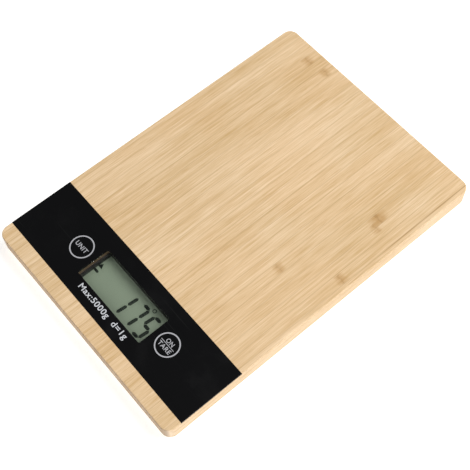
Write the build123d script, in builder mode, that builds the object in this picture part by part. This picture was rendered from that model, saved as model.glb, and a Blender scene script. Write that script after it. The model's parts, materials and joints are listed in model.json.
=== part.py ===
"""Kitchen scale with a bamboo platform on four foot load cells.

Millimetres. +X is the user's right, +Y points away from the user, +Z is up. The origin is on the
surface the scale stands on, under the middle of the board.
"""

from build123d import *
from math import pi
import os

os.makedirs("parts", exist_ok=True)

# ---------------------------------------------------------------- driving dimensions
BOARD_X, BOARD_Y = 160.0, 230.0
BOARD_BOTTOM, BOARD_TOP = 5.0, 18.0
BOARD_CORNER_R = 6.0
BOARD_EDGE_R = 0.8

PANEL_Y, PANEL_MID_Y = 42.0, -84.0
PANEL_T, TAPE_T = 0.8, 0.2
PANEL_GAP = 0.15
WINDOW_X, WINDOW_Y, WINDOW_R = 57.3, 21.8, 1.0
WINDOW_MID_X, WINDOW_MID_Y = 0.7, -83.7

KEY_MID_X, KEY_APART, KEY_Y = 0.5, 80.0, -83.3
KEY_R, KEY_GAP = 7.8, 0.15
KEY_FLANGE_R, KEY_FLANGE_T = 8.6, 0.65
KEY_STEM_R = 3.0
KEY_TRAVEL = 0.3
KEY_FLANGE_GAP = 0.4
SWITCH_SIDE, SWITCH_T = 6.0, 3.9
SWITCH_BORE_R, SWITCH_BORE_FLOOR = 1.85, 2.7
PLUNGER_R, PLUNGER_FOOT = 1.75, 3.1

LCD_TOP = 11.0
POLARISER_T, GLASS_T = 0.2, 0.7
LCD_X, LCD_Y = 63.0, 25.0
LCD_LEDGE = 2.8
FRAME_LIP = 1.1
ROOM_TOP = 14.4  # underside of the wood over the electronics
ROOM_X, ROOM_FRONT, ROOM_BACK = 93.0, -103.0, -64.2
BOARD_T = 1.2
PCB_X, PCB_FRONT, PCB_BACK = 91.0, -102.0, -65.0
PCB_TOP = 8.4
POST_X, POST_FRONT, POST_BACK = 36.0, -98.5, -69.0
POST_R = 2.7
PCB_SCREW_R, PCB_SCREW_HEAD_R, PCB_SCREW_HEAD_T = 0.9, 1.9, 1.1
ZEBRA_Y = 2.0
BLOB_R, BLOB_T, BLOB_SPOT = 6.0, 0.9, (12, -76)
CRYSTAL_LENGTH, CRYSTAL_WIDTH, CRYSTAL_T, CRYSTAL_SPOT = 5.6, 2.4, 2.2, (-42, -96)
CHIP_LENGTH, CHIP_WIDTH, CHIP_T = 2.0, 1.2, 0.6

FOOT_X, FOOT_Y = 62.0, 96.0
PAD_R, PAD_T = 7.8, 1.6
CUP_R, CUP_BOTTOM = 9.0, 1.0
FLANGE_R, FLANGE_BOTTOM, FLANGE_TOP = 10.8, 7.0, 8.0
CELL_SIDE, CELL_T, CELL_BOTTOM = 24.0, 1.2, 9.0
CELL_ROOM_TOP = 12.6
HOLDER_SIDE = 26.0
CELL_SCREW = 9.7  # from the foot's middle, along X and along Y
CELL_SCREW_R, CELL_SCREW_HEAD_R, CELL_SCREW_HEAD_T = 1.1, 2.0, 1.3
CELL_OPENING = 16.4
TONGUE_X, TONGUE_Y, TONGUE_BACK = 12.0, 10.4, 4.0
NECK_X, NECK_Y = 7.0, 6.0
STAKE_R, STAKE_HEAD_R, STAKE_HEAD_T = 1.6, 2.5, 0.8
GAUGE_X, GAUGE_Y, GAUGE_T = 6.6, 4.2, 1.1
GRIP_OUTER_R, GRIP_INNER_R, GRIP_DEPTH = 5.4, 4.6, 0.4

COVER_T = 1.8
COVER_INSET, COVER_GAP = 4.0, 0.3
CHANNEL_TOP, CHANNEL_X = 11.6, 5.0
COVER_SCREW_R, COVER_HEAD_R, COVER_HEAD_T, COVER_SCREW_DEPTH = 1.3, 2.4, 1.1, 6.4
LEAD_R, LEAD_PITCH, LEAD_Z = 0.45, 1.0, 10.75

BATTERY_R, BATTERY_LENGTH = 5.25, 44.5
BATTERY_MID_Y, BATTERY_PITCH, BATTERY_Z = -34.8, 10.9, 8.45
BAY_X, BAY_Y = 51.4, 22.8
BAY_WALL, BAY_TOP = 1.2, 13.9
DOOR_BOTTOM, DOOR_T = 1.6, 1.4
DOOR_X, DOOR_FRONT, HINGE_Y, HINGE_R = 52.6, -49.6, -21.0, 1.3
PIN_R, PIN_RUN, PIN_LENGTH = 0.8, 0.08, 1.9
LATCH_X, LATCH_MID_Y, LATCH_T, LATCH_LENGTH = 10.0, -48.7, 1.0, 4.4
HOOK_BOTTOM, HOOK_T = 5.5, 1.0
TAB_Z, TAB_X, TAB_Y, TAB_T = 9.5, 2.9, 3.0, 0.3

# ---------------------------------------------------------------- worked-out heights and places
GROOVE_FLOOR = BOARD_TOP - PANEL_T - TAPE_T
PANEL_BOTTOM = BOARD_TOP - PANEL_T
COVER_TOP = BOARD_BOTTOM + COVER_T
CELL_TOP = CELL_BOTTOM + CELL_T
KEY_FLANGE_TOP = PANEL_BOTTOM - 0.05
KEY_FLANGE_BOTTOM = KEY_FLANGE_TOP - KEY_FLANGE_T
PLUNGER_TOP = PCB_TOP + 4.8
HINGE_Z = DOOR_BOTTOM + HINGE_R
DOOR_TOP = DOOR_BOTTOM + DOOR_T
LCD_GLASS_TOP = LCD_TOP - POLARISER_T
LCD_BOTTOM = LCD_GLASS_TOP - 2 * GLASS_T - POLARISER_T
PCB_BOTTOM = PCB_TOP - BOARD_T

CORNERS = {
    "front_left": (-1, -1),
    "front_right": (1, -1),
    "rear_left": (-1, 1),
    "rear_right": (1, 1),
}
KEYS = {"unit": KEY_MID_X - KEY_APART / 2, "tare": KEY_MID_X + KEY_APART / 2}
KEY_SPOTS = [(x, KEY_Y) for x in KEYS.values()]
COVER_SCREWS = [(sx * x, y) for sx in (-1, 1) for x, y in ((70.5, -62), (70.5, 62), (28, 105), (28, -107))]


def save(part, node):
    """Label a finished piece and write its STEP file."""
    part.label = node
    export_step(part, f"parts/{node}.step")


def corner_plane(sx, sy, z):
    """A level plane centred on one foot, whose +Y points at the middle of the board."""
    return Plane(origin=(sx * FOOT_X, sy * FOOT_Y, z), x_dir=(-sy, 0, 0), z_dir=(0, 0, 1))


# ---------------------------------------------------------------- bamboo platform
with BuildPart() as bamboo_platform:
    with BuildSketch(Plane.XY.offset(BOARD_BOTTOM)):
        RectangleRounded(BOARD_X, BOARD_Y, BOARD_CORNER_R)
    extrude(amount=BOARD_TOP - BOARD_BOTTOM)
    outer_rims = bamboo_platform.faces().filter_by(Axis.Z).edges()
    fillet(outer_rims, radius=BOARD_EDGE_R)

    # groove for the panel, right across the top
    with BuildSketch(Plane.XY.offset(GROOVE_FLOOR)):
        with Locations((0, PANEL_MID_Y)):
            Rectangle(BOARD_X + 2, PANEL_Y + 2 * PANEL_GAP)
    extrude(amount=BOARD_TOP, mode=Mode.SUBTRACT)

    # rebate for the bottom cover
    with BuildSketch(Plane.XY.offset(BOARD_BOTTOM)):
        RectangleRounded(BOARD_X - 2 * COVER_INSET, BOARD_Y - 2 * COVER_INSET, BOARD_CORNER_R)
    extrude(amount=COVER_T, mode=Mode.SUBTRACT)

    # room for the display and the circuit board
    with BuildSketch(Plane.XY.offset(COVER_TOP)):
        with Locations((0, (ROOM_FRONT + ROOM_BACK) / 2)):
            RectangleRounded(ROOM_X, ROOM_BACK - ROOM_FRONT, 3)
    extrude(amount=ROOM_TOP - COVER_TOP, mode=Mode.SUBTRACT)

    # window and key holes through the wood over that room
    with BuildSketch(Plane.XY.offset(ROOM_TOP)):
        with Locations((WINDOW_MID_X, WINDOW_MID_Y)):
            RectangleRounded(WINDOW_X, WINDOW_Y, WINDOW_R)
        with Locations(*KEY_SPOTS):
            Circle(KEY_STEM_R + KEY_FLANGE_GAP + 0.1)
    extrude(amount=BOARD_TOP, mode=Mode.SUBTRACT)
    with BuildSketch(Plane.XY.offset(KEY_FLANGE_BOTTOM - KEY_TRAVEL - 0.2)):
        with Locations(*KEY_SPOTS):
            Circle(KEY_FLANGE_R + KEY_FLANGE_GAP)
    extrude(amount=BOARD_TOP, mode=Mode.SUBTRACT)

    # pocket over each foot
    for sx, sy in CORNERS.values():
        with BuildSketch(corner_plane(sx, sy, COVER_TOP)):
            RectangleRounded(HOLDER_SIDE + 0.6, HOLDER_SIDE + 0.6, 1.5)
        extrude(amount=CELL_ROOM_TOP - COVER_TOP, mode=Mode.SUBTRACT)
    with BuildSketch(Plane.XY.offset(CELL_ROOM_TOP)):
        for sx, sy in CORNERS.values():
            with Locations((sx * FOOT_X + CELL_SCREW, sy * FOOT_Y + CELL_SCREW)):
                Circle(CELL_SCREW_R)
            with Locations((sx * FOOT_X - CELL_SCREW, sy * FOOT_Y - CELL_SCREW)):
                Circle(CELL_SCREW_R)
    extrude(amount=3.2, mode=Mode.SUBTRACT)

    # channels for the leads
    with BuildSketch(Plane.XY.offset(COVER_TOP)):
        for sx in (-1, 1):
            with Locations((sx * FOOT_X, 0)):
                Rectangle(CHANNEL_X, 2 * FOOT_Y - HOLDER_SIDE + 2)
            with Locations((sx * 55.0, -71.75)):
                Rectangle(19, 9.5)
        with Locations((-30.5, -43)):
            Rectangle(6.2, 46)
    extrude(amount=CHANNEL_TOP - COVER_TOP, mode=Mode.SUBTRACT)

    # pocket for the battery bay and its latch
    with BuildSketch(Plane.XY.offset(COVER_TOP)):
        with Locations((0, BATTERY_MID_Y)):
            RectangleRounded(BAY_X + 2 * BAY_WALL + 1, BAY_Y + 2 * BAY_WALL + 1, 1)
    extrude(amount=BAY_TOP + 1.3 - COVER_TOP, mode=Mode.SUBTRACT)
    with BuildSketch(Plane.XY.offset(COVER_TOP)):
        with Locations((0, -49.5)):
            Rectangle(14, 5)
    extrude(amount=2.4, mode=Mode.SUBTRACT)

    # pilot holes for the cover's screws
    with BuildSketch(Plane.XY.offset(COVER_TOP)):
        with Locations(*COVER_SCREWS):
            Circle(COVER_SCREW_R)
    extrude(amount=COVER_SCREW_DEPTH, mode=Mode.SUBTRACT)
save(bamboo_platform.part, "bamboo_platform")

# ---------------------------------------------------------------- panel, its tape and its window
with BuildPart() as display_panel:
    with BuildSketch(Plane.XY.offset(PANEL_BOTTOM)):
        with Locations((0, PANEL_MID_Y)):
            Rectangle(BOARD_X - 0.2, PANEL_Y)
        with Locations((WINDOW_MID_X, WINDOW_MID_Y)):
            RectangleRounded(WINDOW_X, WINDOW_Y, WINDOW_R, mode=Mode.SUBTRACT)
        with Locations(*KEY_SPOTS):
            Circle(KEY_R + KEY_GAP, mode=Mode.SUBTRACT)
    extrude(amount=PANEL_T)
    chamfer(display_panel.faces().sort_by(Axis.Z)[-1].outer_wire().edges(), length=0.12)
save(display_panel.part, "display_panel")

with BuildPart() as panel_tape:
    with BuildSketch(Plane.XY.offset(GROOVE_FLOOR)):
        with Locations((0, PANEL_MID_Y)):
            Rectangle(BOARD_X - 2, PANEL_Y - 1)
        with Locations((WINDOW_MID_X, WINDOW_MID_Y)):
            RectangleRounded(WINDOW_X, WINDOW_Y, WINDOW_R, mode=Mode.SUBTRACT)
        with Locations(*KEY_SPOTS):
            Circle(KEY_FLANGE_R + KEY_FLANGE_GAP, mode=Mode.SUBTRACT)
    extrude(amount=TAPE_T)
save(panel_tape.part, "panel_tape")

with BuildPart() as window_lens:
    with BuildSketch(Plane.XY.offset(PANEL_BOTTOM)):
        with Locations((WINDOW_MID_X, WINDOW_MID_Y)):
            RectangleRounded(WINDOW_X - 0.06, WINDOW_Y - 0.06, WINDOW_R - 0.03)
    extrude(amount=PANEL_T)
save(window_lens.part, "window_lens")

# ---------------------------------------------------------------- keys, push switches
for name, x in KEYS.items():
    with BuildPart() as key:
        with BuildSketch(Plane.XY.offset(KEY_FLANGE_TOP)):
            with Locations((x, KEY_Y)):
                Circle(KEY_R)
        extrude(amount=BOARD_TOP - KEY_FLANGE_TOP)
        chamfer(key.faces().sort_by(Axis.Z)[-1].edges(), length=0.12)
        with BuildSketch(Plane.XY.offset(KEY_FLANGE_BOTTOM)):
            with Locations((x, KEY_Y)):
                Circle(KEY_FLANGE_R)
        extrude(amount=KEY_FLANGE_T)
        with BuildSketch(Plane.XY.offset(PLUNGER_TOP)):
            with Locations((x, KEY_Y)):
                Circle(KEY_STEM_R)
        extrude(amount=KEY_FLANGE_BOTTOM - PLUNGER_TOP)
    save(key.part, f"key_{name}")

    with BuildPart() as key_switch:
        with BuildSketch(Plane.XY.offset(PCB_TOP)):
            with Locations((x, KEY_Y)):
                RectangleRounded(SWITCH_SIDE, SWITCH_SIDE, 0.6)
        extrude(amount=SWITCH_T)
        with BuildSketch(Plane.XY.offset(PCB_TOP + SWITCH_BORE_FLOOR)):
            with Locations((x, KEY_Y)):
                Circle(SWITCH_BORE_R)
        extrude(amount=SWITCH_T, mode=Mode.SUBTRACT)
    save(key_switch.part, f"key_switch_{name}")

    with BuildPart() as switch_plunger:
        with BuildSketch(Plane.XY.offset(PCB_TOP + PLUNGER_FOOT)):
            with Locations((x, KEY_Y)):
                Circle(PLUNGER_R)
        extrude(amount=PLUNGER_TOP - PCB_TOP - PLUNGER_FOOT)
    save(switch_plunger.part, f"switch_plunger_{name}")

# ---------------------------------------------------------------- display
FRAME_X, FRAME_Y = LCD_X + 5.0, LCD_Y + LCD_LEDGE + 4.6
GLASS_MID_Y = WINDOW_MID_Y - LCD_LEDGE / 2

with BuildPart() as lcd_frame:
    with BuildSketch(Plane.XY.offset(LCD_TOP)):
        with Locations((WINDOW_MID_X, GLASS_MID_Y)):
            RectangleRounded(FRAME_X, FRAME_Y, 1.5)
        with Locations((WINDOW_MID_X, WINDOW_MID_Y)):
            Rectangle(WINDOW_X - 2 * FRAME_LIP, WINDOW_Y + 0.2, mode=Mode.SUBTRACT)
    extrude(amount=ROOM_TOP - LCD_TOP)
    with BuildSketch(Plane.XY.offset(LCD_BOTTOM)):
        with Locations((WINDOW_MID_X, GLASS_MID_Y)):
            RectangleRounded(FRAME_X, FRAME_Y, 1.5)
            Rectangle(LCD_X + 0.6, LCD_Y + LCD_LEDGE + 0.6, mode=Mode.SUBTRACT)
    extrude(amount=LCD_TOP - LCD_BOTTOM)
    with BuildSketch(Plane.XY.offset(PCB_TOP)):
        for sx in (-1, 1):
            for y in (POST_FRONT, POST_BACK):
                with Locations((sx * POST_X, y)):
                    Circle(POST_R)
                with Locations((sx * (POST_X - 1), y)):
                    Rectangle(3, 2 * POST_R)
        with Locations((WINDOW_MID_X, GLASS_MID_Y)):
            Rectangle(LCD_X + 3, LCD_Y + LCD_LEDGE + 0.6, mode=Mode.SUBTRACT)
    extrude(amount=ROOM_TOP - PCB_TOP)
    with BuildSketch(Plane.XY.offset(PCB_TOP)):
        for sx in (-1, 1):
            with Locations((sx * POST_X, POST_FRONT), (sx * POST_X, POST_BACK)):
                Circle(PCB_SCREW_R)
    extrude(amount=4.2, mode=Mode.SUBTRACT)
save(lcd_frame.part, "lcd_frame")


def display_sheet(node, bottom, thickness, depth, mid_y):
    """One flat sheet of the display's stack."""
    with BuildPart() as sheet:
        with BuildSketch(Plane.XY.offset(bottom)):
            with Locations((WINDOW_MID_X, mid_y)):
                Rectangle(LCD_X, depth)
        extrude(amount=thickness)
    save(sheet.part, node)


display_sheet("lcd_front_polariser", LCD_GLASS_TOP, POLARISER_T, LCD_Y, WINDOW_MID_Y)
display_sheet("lcd_front_glass", LCD_GLASS_TOP - GLASS_T, GLASS_T, LCD_Y + LCD_LEDGE, GLASS_MID_Y)
display_sheet("lcd_rear_glass", LCD_GLASS_TOP - 2 * GLASS_T, GLASS_T, LCD_Y, WINDOW_MID_Y)
display_sheet("lcd_reflector", LCD_BOTTOM, POLARISER_T, LCD_Y, WINDOW_MID_Y)

with BuildPart() as zebra_connector:
    with BuildSketch(Plane.XY.offset(PCB_TOP)):
        with Locations((WINDOW_MID_X, WINDOW_MID_Y - LCD_Y / 2 - LCD_LEDGE / 2)):
            Rectangle(LCD_X - 3, ZEBRA_Y)
    extrude(amount=LCD_GLASS_TOP - GLASS_T - PCB_TOP)
save(zebra_connector.part, "zebra_connector")

# ---------------------------------------------------------------- circuit board
PCB_SCREWS = [(sx * POST_X, y) for sx in (-1, 1) for y in (POST_FRONT, POST_BACK)]

with BuildPart() as main_board:
    with BuildSketch(Plane.XY.offset(PCB_BOTTOM)):
        with Locations((0, (PCB_FRONT + PCB_BACK) / 2)):
            RectangleRounded(PCB_X, PCB_BACK - PCB_FRONT, 1.5)
        with Locations(*PCB_SCREWS):
            Circle(1.15, mode=Mode.SUBTRACT)
    extrude(amount=BOARD_T)
save(main_board.part, "main_board")

with BuildPart() as board_screws:
    with BuildSketch(Plane.XY.offset(PCB_BOTTOM - PCB_SCREW_HEAD_T)):
        with Locations(*PCB_SCREWS):
            Circle(PCB_SCREW_HEAD_R)
    extrude(amount=PCB_SCREW_HEAD_T)
    fillet(board_screws.faces().sort_by(Axis.Z)[:4].edges(), radius=0.4)
    with BuildSketch(Plane.XY.offset(PCB_BOTTOM)):
        with Locations(*PCB_SCREWS):
            Circle(PCB_SCREW_R)
    extrude(amount=4.6)
    with BuildSketch(Plane.XY.offset(PCB_BOTTOM - PCB_SCREW_HEAD_T)):
        with Locations(*PCB_SCREWS):
            Rectangle(2, 0.4)
            Rectangle(0.4, 2)
    extrude(amount=0.6, mode=Mode.SUBTRACT)
save(board_screws.part, "board_screws")

with BuildPart() as chip_blob:
    with BuildSketch(Plane.XY.offset(PCB_BOTTOM)):
        with Locations(BLOB_SPOT):
            Circle(BLOB_R)
    extrude(amount=-BLOB_T, taper=25)
save(chip_blob.part, "chip_blob")

with BuildPart() as timing_crystal:
    with BuildSketch(Plane.XY.offset(PCB_TOP)):
        with Locations(CRYSTAL_SPOT):
            SlotOverall(CRYSTAL_LENGTH, CRYSTAL_WIDTH, rotation=90)
    extrude(amount=CRYSTAL_T)
    fillet(timing_crystal.faces().sort_by(Axis.Z)[-1].edges(), radius=0.4)
save(timing_crystal.part, "timing_crystal")

with BuildPart() as chip_components:
    with BuildSketch(Plane.XY.offset(PCB_BOTTOM)):
        with Locations((-14, -76)):
            with GridLocations(4, 3.2, 5, 4):
                Rectangle(CHIP_LENGTH, CHIP_WIDTH)
        with Locations((26, -90)):
            with GridLocations(3.4, 4, 3, 2):
                Rectangle(CHIP_WIDTH, CHIP_LENGTH)
    extrude(amount=-CHIP_T)
save(chip_components.part, "chip_components")


# ---------------------------------------------------------------- feet, load cells and their holders
def lead_route(sx, sy, core):
    """Route of one core from its strain gauge to the circuit board, outermost core last."""
    x = sx * (FOOT_X + core * LEAD_PITCH)
    start_y = sy * (FOOT_Y - CELL_SIDE / 3)
    turn_y = -74.0 + core * LEAD_PITCH if sy < 0 else -69.5 - core * LEAD_PITCH
    end_x = sx * 43.5
    return [(x, start_y, LEAD_Z), (x, turn_y, LEAD_Z), (end_x, turn_y, LEAD_Z), (end_x, turn_y, PCB_TOP)]


def lead(points, radii, start):
    """A round core along straight runs joined by tangent arcs, set off from its first point."""
    with BuildPart(mode=Mode.PRIVATE) as core:
        with BuildLine() as path:
            FilletPolyline(*points, radius=radii)
        with BuildSketch(Plane(origin=points[0], z_dir=start)):
            Circle(LEAD_R)
        sweep(path=path.line)
    tube = core.part.volume / (pi * LEAD_R**2 * path.wire().length)
    print("core: volume / (section x length) =", round(tube, 4), "radii", radii)
    return core.part


for corner, (sx, sy) in CORNERS.items():
    with BuildPart() as foot_pad:
        with BuildSketch(corner_plane(sx, sy, 0)):
            Circle(PAD_R)
        extrude(amount=PAD_T)
        chamfer(foot_pad.faces().sort_by(Axis.Z)[0].edges(), length=0.3)
        with BuildSketch(corner_plane(sx, sy, 0)):
            Circle(GRIP_OUTER_R)
            Circle(GRIP_INNER_R, mode=Mode.SUBTRACT)
        extrude(amount=GRIP_DEPTH, mode=Mode.SUBTRACT)
    save(foot_pad.part, f"foot_pad_{corner}")

    with BuildPart() as foot_cup:
        with BuildSketch(corner_plane(sx, sy, CUP_BOTTOM)):
            Circle(CUP_R)
        extrude(amount=FLANGE_BOTTOM - CUP_BOTTOM)
        fillet(foot_cup.faces().sort_by(Axis.Z)[0].edges(), radius=0.5)
        with BuildSketch(corner_plane(sx, sy, CUP_BOTTOM)):
            Circle(PAD_R)
        extrude(amount=PAD_T - CUP_BOTTOM, mode=Mode.SUBTRACT)
        with BuildSketch(corner_plane(sx, sy, FLANGE_BOTTOM)):
            Circle(FLANGE_R)
        extrude(amount=FLANGE_TOP - FLANGE_BOTTOM)
        with BuildSketch(corner_plane(sx, sy, FLANGE_TOP)):
            Circle(4)
        extrude(amount=CELL_BOTTOM - FLANGE_TOP)
        with BuildSketch(corner_plane(sx, sy, CELL_BOTTOM)):
            Circle(STAKE_R)
        extrude(amount=CELL_T + 0.05)
        with BuildSketch(corner_plane(sx, sy, CELL_TOP + 0.05)):
            Circle(STAKE_HEAD_R)
        extrude(amount=STAKE_HEAD_T, taper=30)
    save(foot_cup.part, f"foot_cup_{corner}")

    # steel plate: a border, a U-shaped slot and a tongue on a narrow neck
    with BuildPart() as load_cell:
        with BuildSketch(corner_plane(sx, sy, CELL_BOTTOM)):
            RectangleRounded(CELL_SIDE, CELL_SIDE, 1.5)
            RectangleRounded(CELL_OPENING, CELL_OPENING, 1, mode=Mode.SUBTRACT)
            with Locations((0, TONGUE_BACK - TONGUE_Y / 2)):
                RectangleRounded(TONGUE_X, TONGUE_Y, 1)
            with Locations((0, CELL_OPENING / 2 + 0.8 - NECK_Y / 2)):
                Rectangle(NECK_X, NECK_Y)
            Circle(STAKE_R + 0.1, mode=Mode.SUBTRACT)
            with Locations((CELL_SCREW, CELL_SCREW), (-CELL_SCREW, -CELL_SCREW)):
                Circle(CELL_SCREW_R + 0.1, mode=Mode.SUBTRACT)
        extrude(amount=CELL_T)
    save(load_cell.part, f"load_cell_{corner}")

    with BuildPart() as strain_gauge:
        with BuildSketch(corner_plane(sx, sy, CELL_TOP)):
            with Locations((0, 5.9)):
                Rectangle(GAUGE_X, GAUGE_Y)
        extrude(amount=GAUGE_T)
        fillet(strain_gauge.faces().sort_by(Axis.Z)[-1].edges(), radius=0.15)
    save(strain_gauge.part, f"strain_gauge_{corner}")

    with BuildPart() as cell_holder:
        with BuildSketch(corner_plane(sx, sy, CELL_TOP)):
            RectangleRounded(HOLDER_SIDE, HOLDER_SIDE, 1.2)
            RectangleRounded(CELL_OPENING, CELL_OPENING, 1, mode=Mode.SUBTRACT)
            with Locations((CELL_SCREW, CELL_SCREW), (-CELL_SCREW, -CELL_SCREW)):
                Circle(CELL_SCREW_R + 0.1, mode=Mode.SUBTRACT)
        extrude(amount=CELL_ROOM_TOP - CELL_TOP)
        with BuildSketch(corner_plane(sx, sy, CELL_BOTTOM)):
            RectangleRounded(HOLDER_SIDE, HOLDER_SIDE, 1.2)
            RectangleRounded(CELL_SIDE + 0.2, CELL_SIDE + 0.2, 1.6, mode=Mode.SUBTRACT)
        extrude(amount=CELL_T)
        with BuildSketch(corner_plane(sx, sy, CELL_TOP)):
            with Locations((0, HOLDER_SIDE / 2)):
                Rectangle(4.6, 12)
        extrude(amount=1.4, mode=Mode.SUBTRACT)
    save(cell_holder.part, f"cell_holder_{corner}")

    with BuildPart() as cell_lead:
        for core in (-1, 0, 1):
            add(lead(lead_route(sx, sy, core), [2.2, 1.8], (0, -sy, 0)))
    save(cell_lead.part, f"cell_lead_{corner}")

SCREW_SPOTS = [
    (sx * FOOT_X + end * CELL_SCREW, sy * FOOT_Y + end * CELL_SCREW)
    for sx, sy in CORNERS.values()
    for end in (-1, 1)
]
with BuildPart() as cell_screws:
    with BuildSketch(Plane.XY.offset(CELL_BOTTOM - CELL_SCREW_HEAD_T)):
        with Locations(*SCREW_SPOTS):
            Circle(CELL_SCREW_HEAD_R)
    extrude(amount=CELL_SCREW_HEAD_T)
    fillet(cell_screws.faces().sort_by(Axis.Z)[: len(SCREW_SPOTS)].edges(), radius=0.4)
    with BuildSketch(Plane.XY.offset(CELL_BOTTOM)):
        with Locations(*SCREW_SPOTS):
            Circle(CELL_SCREW_R)
    extrude(amount=CELL_ROOM_TOP + 3 - CELL_BOTTOM)
    with BuildSketch(Plane.XY.offset(CELL_BOTTOM - CELL_SCREW_HEAD_T)):
        with Locations(*SCREW_SPOTS):
            Rectangle(2, 0.4)
            Rectangle(0.4, 2)
    extrude(amount=0.7, mode=Mode.SUBTRACT)
save(cell_screws.part, "cell_screws")

# ---------------------------------------------------------------- bottom cover with the battery bay
BULGE_X, BULGE_FRONT, BULGE_BACK = 62.0, -53.0, -17.0
BULGE_MID = (BULGE_FRONT + BULGE_BACK) / 2

with BuildPart() as bottom_cover:
    with BuildSketch(Plane.XY.offset(BOARD_BOTTOM)):
        RectangleRounded(
            BOARD_X - 2 * COVER_INSET - 2 * COVER_GAP,
            BOARD_Y - 2 * COVER_INSET - 2 * COVER_GAP,
            BOARD_CORNER_R - COVER_GAP,
        )
    extrude(amount=COVER_T)
    # walls and roof of the battery bay
    with BuildSketch(Plane.XY.offset(COVER_TOP)):
        with Locations((0, BATTERY_MID_Y)):
            Rectangle(BAY_X + 2 * BAY_WALL, BAY_Y + 2 * BAY_WALL)
    extrude(amount=BAY_TOP + 1 - COVER_TOP)
    # raised block that the door lies in
    with BuildSketch(Plane.XY.offset(BOARD_BOTTOM)):
        with Locations((0, BULGE_MID)):
            RectangleRounded(BULGE_X, BULGE_BACK - BULGE_FRONT, 3)
    extrude(amount=DOOR_BOTTOM - BOARD_BOTTOM, taper=20)
    # bay, door opening and barrel recess
    with BuildSketch(Plane.XY.offset(DOOR_BOTTOM - 1)):
        with Locations((0, BATTERY_MID_Y)):
            Rectangle(BAY_X, BAY_Y)
    extrude(amount=BAY_TOP - DOOR_BOTTOM + 1, mode=Mode.SUBTRACT)
    with BuildSketch(Plane.XY.offset(DOOR_BOTTOM - 1)):
        with Locations((0, (DOOR_FRONT - 0.4 + HINGE_Y) / 2)):
            Rectangle(DOOR_X + 0.6, HINGE_Y - DOOR_FRONT + 0.4)
    extrude(amount=DOOR_T + 1.1, mode=Mode.SUBTRACT)
    with BuildSketch(Plane.XY.offset(DOOR_BOTTOM - 1)):
        with Locations((0, HINGE_Y)):
            Rectangle(DOOR_X + 0.6, 2 * HINGE_R + 0.8)
    extrude(amount=2 * HINGE_R + 1.4, mode=Mode.SUBTRACT)
    with BuildSketch(Plane.YZ.offset(-DOOR_X / 2 - PIN_LENGTH - 0.4)):
        with Locations((HINGE_Y, HINGE_Z)):
            Circle(PIN_R + PIN_RUN)
    extrude(amount=DOOR_X + 2 * PIN_LENGTH + 0.8, mode=Mode.SUBTRACT)
    # slot for the latch, with a ledge on its front wall
    with BuildSketch(Plane.XY.offset(DOOR_TOP)):
        with Locations((0, LATCH_MID_Y)):
            Rectangle(LATCH_X + 1, LATCH_T + 0.6)
    extrude(amount=5, mode=Mode.SUBTRACT)
    with BuildSketch(Plane.XY.offset(5.4)):
        with Locations((0, LATCH_MID_Y - 1.4)):
            Rectangle(LATCH_X + 1, LATCH_T + 0.8)
    extrude(amount=3, mode=Mode.SUBTRACT)
    # slots for the contacts' solder tabs
    with BuildSketch(Plane.YZ.offset(-BAY_X / 2 - 2)):
        for side in (-1, 1):
            with Locations((BATTERY_MID_Y + side * BATTERY_PITCH / 2, TAB_Z)):
                Rectangle(TAB_Y + 0.4, TAB_T + 0.6)
    extrude(amount=3, mode=Mode.SUBTRACT)
    # room for the circuit board's screws
    with BuildSketch(Plane.XY.offset(COVER_TOP - 0.9)):
        with Locations((0, (PCB_FRONT + PCB_BACK) / 2)):
            RectangleRounded(PCB_X - 2, PCB_BACK - PCB_FRONT - 1, 2)
    extrude(amount=0.9, mode=Mode.SUBTRACT)
    # holes for the feet
    with BuildSketch(Plane.XY.offset(BOARD_BOTTOM)):
        with Locations(*[(sx * FOOT_X, sy * FOOT_Y) for sx, sy in CORNERS.values()]):
            Circle(CUP_R + 0.7)
    extrude(amount=COVER_T, mode=Mode.SUBTRACT)
    with Locations(*[Location((x, y, BOARD_BOTTOM), (180, 0, 0)) for x, y in COVER_SCREWS]):
        CounterSinkHole(radius=1.5, counter_sink_radius=2.6, depth=COVER_T)
save(bottom_cover.part, "bottom_cover")

with BuildPart() as cover_screws:
    with BuildSketch(Plane.XY.offset(BOARD_BOTTOM + 0.1)):
        with Locations(*COVER_SCREWS):
            Circle(COVER_HEAD_R)
    extrude(amount=COVER_HEAD_T, taper=45)
    with BuildSketch(Plane.XY.offset(BOARD_BOTTOM + 0.6)):
        with Locations(*COVER_SCREWS):
            Circle(COVER_SCREW_R)
    extrude(amount=COVER_T + 5.6)
    with BuildSketch(Plane.XY.offset(BOARD_BOTTOM)):
        with Locations(*COVER_SCREWS):
            Rectangle(2.2, 0.5)
            Rectangle(0.5, 2.2)
    extrude(amount=0.8, mode=Mode.SUBTRACT)
save(cover_screws.part, "cover_screws")

# ---------------------------------------------------------------- battery door and its latch
with BuildPart() as battery_door:
    with BuildSketch(Plane.XY.offset(DOOR_BOTTOM)):
        with Locations((0, (DOOR_FRONT + HINGE_Y) / 2)):
            Rectangle(DOOR_X, HINGE_Y - DOOR_FRONT)
    extrude(amount=DOOR_T)
    with BuildSketch(Plane.YZ.offset(-DOOR_X / 2)):
        with Locations((HINGE_Y, HINGE_Z)):
            Circle(HINGE_R)
    extrude(amount=DOOR_X)
    with BuildSketch(Plane.YZ.offset(-DOOR_X / 2 - PIN_LENGTH)):
        with Locations((HINGE_Y, HINGE_Z)):
            Circle(PIN_R)
    extrude(amount=DOOR_X + 2 * PIN_LENGTH)
    # finger ribs on the outside
    with BuildSketch(Plane.XY.offset(DOOR_BOTTOM)):
        with Locations((0, DOOR_FRONT + 6)):
            with GridLocations(0, 1.6, 1, 5):
                Rectangle(14, 0.7)
    extrude(amount=0.35, mode=Mode.SUBTRACT)
save(battery_door.part, "battery_door")

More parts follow.
